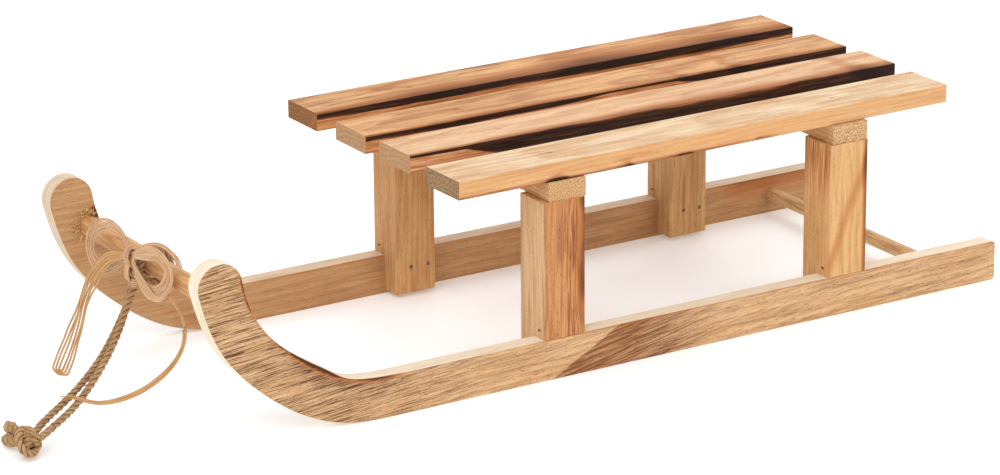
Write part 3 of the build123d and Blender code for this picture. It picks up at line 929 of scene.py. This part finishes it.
# ---------------------------------------------------------------- operators
class TOBOGGAN_OT_stage(bpy.types.Operator):
    """Makes the camera, the plain floor and the soft studio light"""

    bl_idname = "toboggan.stage"
    bl_label = "Stage"

    def execute(self, context):
        stage = context.scene.toboggan_stage
        a, e, roll = stage.azimuth, stage.elevation, stage.roll
        back = Vector((math.sin(a) * math.cos(e), -math.cos(a) * math.cos(e), math.sin(e)))
        right = Vector((math.cos(a), math.sin(a), 0))
        up = back.cross(right)
        tilted_right = right * math.cos(roll) + up * math.sin(roll)
        tilted_up = up * math.cos(roll) - right * math.sin(roll)
        camera = bpy.data.objects.new("camera", bpy.data.cameras.new("camera"))
        camera.data.lens = stage.lens
        camera.data.sensor_width = 36.0
        camera.data.clip_start = 0.05
        camera.data.clip_end = 60.0
        place = Matrix((tilted_right, tilted_up, back)).transposed().to_4x4()
        place.translation = Vector(stage.target) + back * stage.distance
        camera.matrix_world = place
        context.scene.collection.objects.link(camera)
        context.scene.camera = camera

        half = stage.floor_size / 2
        mesh = bpy.data.meshes.new("floor")
        mesh.from_pydata([(-half, -half, 0), (half, -half, 0), (half, half, 0), (-half, half, 0)],
                         [], [(0, 1, 2, 3)])
        finish = Finish("floor_paint")
        mesh.materials.append(finish.surface(tuple(stage.floor_colour), 0.9, **{
            "Emission Color": (1, 1, 1, 1), "Emission Strength": stage.floor_glow}))
        floor = bpy.data.objects.new("floor", mesh)
        context.scene.collection.objects.link(floor)

        world = bpy.data.worlds.new("studio")
        world.use_nodes = True
        world.node_tree.nodes["Background"].inputs["Color"].default_value = (1, 1, 1, 1)
        world.node_tree.nodes["Background"].inputs["Strength"].default_value = stage.sky
        context.scene.world = world
        context.scene.view_settings.view_transform = "Standard"

        lamps = (
            ("soft_key", (1.3, 1.2, 1.9), 1.5, 19.0),
            ("soft_fill", (-0.9, 1.9, 1.1), 1.4, 7.0),
            ("soft_back", (-1.2, -1.3, 1.6), 1.4, 9.0),
        )
        for name, spot, size, power in lamps:
            data = bpy.data.lights.new(name, "AREA")
            data.shape = "DISK"
            data.size = size
            data.energy = power
            lamp = bpy.data.objects.new(name, data)
            lamp.location = spot
            aim = Vector(stage.target) - lamp.location
            lamp.rotation_mode = "QUATERNION"
            lamp.rotation_quaternion = aim.to_track_quat("-Z", "Y")
            context.scene.collection.objects.link(lamp)
        return {"FINISHED"}


class TOBOGGAN_OT_pull_rope(bpy.types.Operator):
    """Lays the rope's two legs from the hitch on the bar to the knot on the floor"""

    bl_idname = "toboggan.pull_rope"
    bl_label = "Pull rope"

    def execute(self, context):
        rope = context.scene.toboggan_rope
        material = jute(rope)
        knot = self.knot(rope, material)
        legs = (
            ("pull_rope_leg_left", LEG_LEFT, 1, 0.0, 0.205),
            ("pull_rope_leg_right", LEG_RIGHT, -1, 1.1, 0.207),
        )
        for name, leg, side, turn, length in legs:
            route = route_mm(leg)
            line = smooth_line(hitch_turn(side, route[0].y) + route)
            maker = Maker()
            laid_rope(maker, line, rope, turn=turn)
            piece = maker.build(name, material)
            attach(piece, ROPE)
            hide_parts("rope_hitch", name.replace("pull_", ""))
        return {"FINISHED"}

    def knot(self, rope, material):
        """Both legs coil up and leave as two short tails, and a turn crosses the front on a slant."""
        maker = Maker()
        starts = (route_mm(LEG_LEFT)[-2:], route_mm(LEG_RIGHT)[-2:])
        for k, (start, tail_end) in enumerate(zip(starts, TAIL_ENDS)):
            route = list(start)
            for step in range(FLOOR_COIL_STEPS + 1):
                turn = math.radians(118 - 52 * step)
                bulge = 1 + 0.12 * math.sin(math.pi * step / FLOOR_COIL_STEPS)
                route.append(FLOOR_KNOT + MM * Vector((
                    FLOOR_COIL_HALF_DEPTH * bulge * math.cos(turn),
                    7.0 - 5.0 * k - FLOOR_COIL_PITCH * step,
                    FLOOR_COIL_HALF_HEIGHT * bulge * math.sin(turn))))
            core = FLOOR_KNOT + Vector((2 * k - 1, -1, 0)) * MM
            route.append(core + Vector((0, 4.0, 0)) * MM)
            route.append(core)
            route.append(core.lerp(tail_end, 0.5))
            route.append(tail_end + Vector((0, 3.0, 0)) * MM)
            route.append(tail_end - Vector((0, 3.8, 0)) * MM)
            line = smooth_line(route)
            swell = ((0, 1), (0.7, 1), (0.86, 1.22), (0.95, 1.72), (0.982, 1.6), (1, 0.3))
            laid_rope(maker, line, rope, swell=swell, turn=0.7 * k)
        band = [FLOOR_KNOT + offset for offset in route_mm(KNOT_BAND)]
        laid_rope(maker, smooth_line(band), rope, turn=0.4)
        piece = maker.build("floor_knot", material)
        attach(piece, ROPE)
        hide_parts("rope_knot")
        return piece


class TOBOGGAN_OT_raffia_bow(bpy.types.Operator):
    """Ties the raffia bow round the rope's neck, with its loops, tails and loose strand"""

    bl_idname = "toboggan.raffia_bow"
    bl_label = "Raffia bow"

    def execute(self, context):
        raffia = context.scene.toboggan_raffia
        rope = context.scene.toboggan_rope
        pink = raffia_fibre(raffia, "raffia_pink", raffia.light)
        golden = raffia_fibre(raffia, "raffia_golden", raffia.golden)
        loops = (
            ("left", LOOP_LEFT, 7, 0.0, 13, 0.130, 9.0,
             ((0, 2.0), (0.12, 4.0), (0.35, 8.0), (0.55, 12.0), (0.8, 7.0), (1, 2.5))),
            ("right", LOOP_RIGHT, 13, 0.28, 14, 0.116, 10.0,
             ((0, 3.4), (0.2, 9.0), (0.5, 9.8), (0.8, 9.0), (1, 3.4))),
        )
        for side, points, count, lean, seed, length, width, widths in loops:
            line = smooth_line(route_mm(points), steps=8)
            maker = Maker()
            threads(maker, line, count, raffia.thread, widths, FORWARD, seed, lean=lean)
            piece = maker.build(f"bow_loop_{side}", pink)
            raffia_cord(piece, f"tie_loop_{side}", width * MM)
        self.tail_loop(raffia, golden)
        self.loose_strand(raffia, golden)
        self.band(raffia, rope, pink)
        return {"FINISHED"}

    def tail_loop(self, raffia, material):
        """Three nested hairpins that hang from the bow down to the floor."""
        line = smooth_line(route_mm(TAIL_LOOP), steps=8)
        widths = ((0, 2.4), (0.16, 7.4), (0.36, 8.4), (0.54, 6.0), (0.76, 10.2), (0.92, 12.6),
                  (1, 12.2))
        maker = Maker()
        facing = Vector((0.5, 0.8, 0.3)).normalized()
        hairpins(maker, line, 3, raffia.thread * 1.2, widths, facing)
        piece = maker.build("bow_tail_loop", material)
        raffia_cord(piece, "tie_tail_loop", 9.0 * MM)

    def loose_strand(self, raffia, material):
        """One flat strand that falls from the right loop and crosses the rope."""
        line = smooth_line(route_mm(STRAND))
        facing, sizes = [], []
        runs = run_lengths(line)
        for run in runs:
            share = run / runs[-1]
            turn = math.radians(between(((0, 100), (0.3, 80), (0.5, 20), (0.8, -5), (1, -30)), share))
            facing.append(Vector((math.cos(turn) * 0.6, math.cos(turn) * 0.8, math.sin(turn))))
            swell = between(((0, 0.3), (0.5, 0.34), (0.9, 0.36), (1, 0.12)), share)
            sizes.append(raffia.ribbon * swell)
        ways = frames(line, facing)
        maker = Maker()
        for k, shift in enumerate((-0.3, 0.3)):
            shifted = [place + across * shift * raffia.ribbon
                       for place, (_, across, _) in zip(line, ways)]
            maker.tube(shifted, sizes, sides=8, flat=0.35, facing=facing, row=float(k))
        piece = maker.build("loose_strand", material)
        raffia_cord(piece, "tie_strand", raffia.ribbon)

    def band(self, raffia, rope, material):
        """The knot's turns, the wrap and neck below it, a short end and the arch on the bar."""
        maker = Maker()
        self.knot_turns(maker, raffia)
        self.neck_wrap(maker, raffia, rope)
        self.neck_threads(maker, raffia)
        threads(maker, smooth_line(route_mm(SHORT_END), steps=8), 4, raffia.thread,
                ((0, 1.6), (0.5, 4.2), (1, 3.0)), FORWARD, seed=8, rows=20.0)
        threads(maker, smooth_line(route_mm(ARCH), steps=6), 5, raffia.thread,
                ((0, 2.0), (0.4, 4.6), (1, 4.0)), None, seed=31, rows=14.0)
        piece = maker.build("bow_band", material)
        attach(piece, ROPE)
        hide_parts("tie_band")

    def knot_turns(self, maker, raffia):
        """The bow's own knot: turns side by side, the middle one the widest."""
        for k in range(BOW_COILS):
            beside = k - BOW_COILS // 2
            radius = BOW_COIL_RADIUS - 0.35 * abs(beside)
            route = []
            for step in range(13):
                turn = math.radians(30 * step)
                route.append(BOW_KNOT + MM * Vector((
                    radius * 0.72 * math.cos(turn),
                    beside * BOW_COIL_GAP + 0.5 * math.sin(turn * 0.5),
                    radius * 1.5 * math.sin(turn))))
            maker.tube(smooth_line(route, steps=5), raffia.thread / 2, sides=7, row=float(k))

    def neck_wrap(self, maker, raffia, rope):
        """One long thread wound round both legs of the rope."""
        wide = rope.diameter + 2.2 * MM
        deep = rope.diameter / 2 + 0.7 * MM
        level = Matrix.Rotation(math.radians(NECK_TURN), 3, "Z")
        steps = NECK_COILS * NECK_COIL_STEPS
        route = []
        for step in range(steps + 1):
            turn = 2 * math.pi * step / NECK_COIL_STEPS
            height = (step / steps - 0.5) * NECK_HEIGHT * MM
            offset = Vector((wide * math.cos(turn), deep * math.sin(turn), height))
            route.append(NECK_WRAP + level @ offset)
        maker.tube(smooth_line(route, steps=4), raffia.thread * 0.62, sides=7, row=6.0)

    def neck_threads(self, maker, raffia):
        """Threads that run from the knot down to the wrap."""
        for k in range(NECK_THREADS):
            y = (k - NECK_THREADS // 2) * 0.95 * MM
            route = [BOW_KNOT + Vector((1.0 * MM, y, -3.0 * MM)),
                     Vector((292.2 * MM, BOW_KNOT.y + y, 88.0 * MM)),
                     Vector((292.0 * MM, BOW_KNOT.y + y * 1.2 - 0.8 * MM, 82.6 * MM)),
                     NECK_WRAP + Vector((4.4 * MM, y * 1.3, 1.5 * MM))]
            maker.tube(smooth_line(route, steps=6), raffia.thread / 2, sides=7, row=7.0 + k)


class TOBOGGAN_OT_runners(bpy.types.Operator):
    """Finishes the two runners with their swept-up horns"""

    bl_idname = "toboggan.runners"
    bl_label = "Runners"

    def execute(self, context):
        dress(("runner_left", "runner_right"), context.scene.toboggan_wood)
        return {"FINISHED"}


class TOBOGGAN_OT_posts(bpy.types.Operator):
    """Finishes the four posts"""

    bl_idname = "toboggan.posts"
    bl_label = "Posts"

    def execute(self, context):
        names = [f"post_{end}_{side}" for end in ("front", "rear") for side in ("left", "right")]
        dress(names, context.scene.toboggan_wood)
        return {"FINISHED"}


class TOBOGGAN_OT_bolsters(bpy.types.Operator):
    """Finishes the two bolsters under the seat"""

    bl_idname = "toboggan.bolsters"
    bl_label = "Bolsters"

    def execute(self, context):
        dress(("bolster_front", "bolster_rear"), context.scene.toboggan_wood)
        return {"FINISHED"}


class TOBOGGAN_OT_slats(bpy.types.Operator):
    """Finishes the seat's four slats"""

    bl_idname = "toboggan.slats"
    bl_label = "Seat slats"

    def execute(self, context):
        names = [f"slat_{row}_{side}" for row in ("outer", "inner") for side in ("left", "right")]
        dress(names, context.scene.toboggan_wood)
        return {"FINISHED"}


class TOBOGGAN_OT_dowels(bpy.types.Operator):
    """Finishes the pull bar and the rear dowel, and splinters the bores' edges"""

    bl_idname = "toboggan.dowels"
    bl_label = "Dowels"

    def execute(self, context):
        wood = context.scene.toboggan_wood
        dress(("pull_bar", "rear_dowel"), wood)
        self.splinters()
        return {"FINISHED"}

    def splinters(self):
        """Torn fibres round each end of the pull bar, most of them on its upper front."""
        low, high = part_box("pull_bar")
        radius = (high[2] - low[2]) / 2
        maker = Maker()
        dice = random.Random(5)
        for side in (-1, 1):
            face_y = side * abs(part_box("runner_left")[0][1])
            for _ in range(SPLINTERS):
                turn = math.radians(min(max(dice.gauss(42, 40), -40), 120))
                root = radius + dice.uniform(0.1, 2.2) * MM
                spread = dice.uniform(1.2, 3.2) * MM
                tip_out = dice.uniform(0.6, 3.0) * MM
                heading = turn + dice.uniform(-0.9, 0.3)
                start = Vector((BAR.x + root * math.cos(turn), face_y + side * 0.4 * MM,
                                BAR.z + root * math.sin(turn)))
                end = start + Vector((spread * 2 * math.cos(heading), -side * tip_out,
                                      spread * 2 * math.sin(heading)))
                end.x = max(end.x, BAR.x - 6.6 * MM)
                bend = (start + end) / 2 + Vector((0, -side * 0.5 * MM, 0))
                size = dice.uniform(0.4, 0.8) * MM
                maker.tube([start, bend, end], [size, size * 0.8, size * 0.15], sides=5, flat=0.5)
        piece = maker.build("bore_splinters", torn_fibre())
        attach(piece, SLEDGE)


class TOBOGGAN_OT_fasteners(bpy.types.Operator):
    """Finishes the staples and brads"""

    bl_idname = "toboggan.fasteners"
    bl_label = "Fasteners"

    def execute(self, context):
        material = nail_steel()
        for name in ("slat_staples_front", "slat_staples_rear", "lap_brads_left",
                     "lap_brads_right", "toe_brads", "bolster_brads"):
            coat(name, material)
        return {"FINISHED"}


class TOBOGGAN_PT_sidebar(bpy.types.Panel):
    """Lists the settings and the steps of the toboggan"""

    bl_idname = "TOBOGGAN_PT_sidebar"
    bl_label = "Toboggan"
    bl_space_type = "VIEW_3D"
    bl_region_type = "UI"
    bl_category = "Toboggan"

    def draw(self, context):
        for group in SETTINGS:
            settings = getattr(context.scene, group)
            for key in settings.__annotations__:
                self.layout.prop(settings, key)
        for operator in STEPS:
            self.layout.operator(operator.bl_idname)


SETTINGS = {
    "toboggan_wood": TobogganWood,
    "toboggan_rope": TobogganRope,
    "toboggan_raffia": TobogganRaffia,
    "toboggan_stage": TobogganStage,
}
STEPS = (
    TOBOGGAN_OT_stage, TOBOGGAN_OT_pull_rope, TOBOGGAN_OT_raffia_bow, TOBOGGAN_OT_runners,
    TOBOGGAN_OT_posts, TOBOGGAN_OT_bolsters, TOBOGGAN_OT_slats, TOBOGGAN_OT_dowels,
    TOBOGGAN_OT_fasteners,
)


def register():
    for group, kind in SETTINGS.items():
        bpy.utils.register_class(kind)
        setattr(bpy.types.Scene, group, bpy.props.PointerProperty(type=kind))
    for kind in (*STEPS, TOBOGGAN_PT_sidebar):
        bpy.utils.register_class(kind)


def unregister():
    for kind in (TOBOGGAN_PT_sidebar, *reversed(STEPS)):
        bpy.utils.unregister_class(kind)
    for group, kind in SETTINGS.items():
        delattr(bpy.types.Scene, group)
        bpy.utils.unregister_class(kind)


def main():
    """Builds everything in order."""
    register()
    for step in STEPS:
        family, name = step.bl_idname.split(".")
        getattr(getattr(bpy.ops, family), name)()
    bpy.context.view_layer.update()


if __name__ == "__main__":
    main()
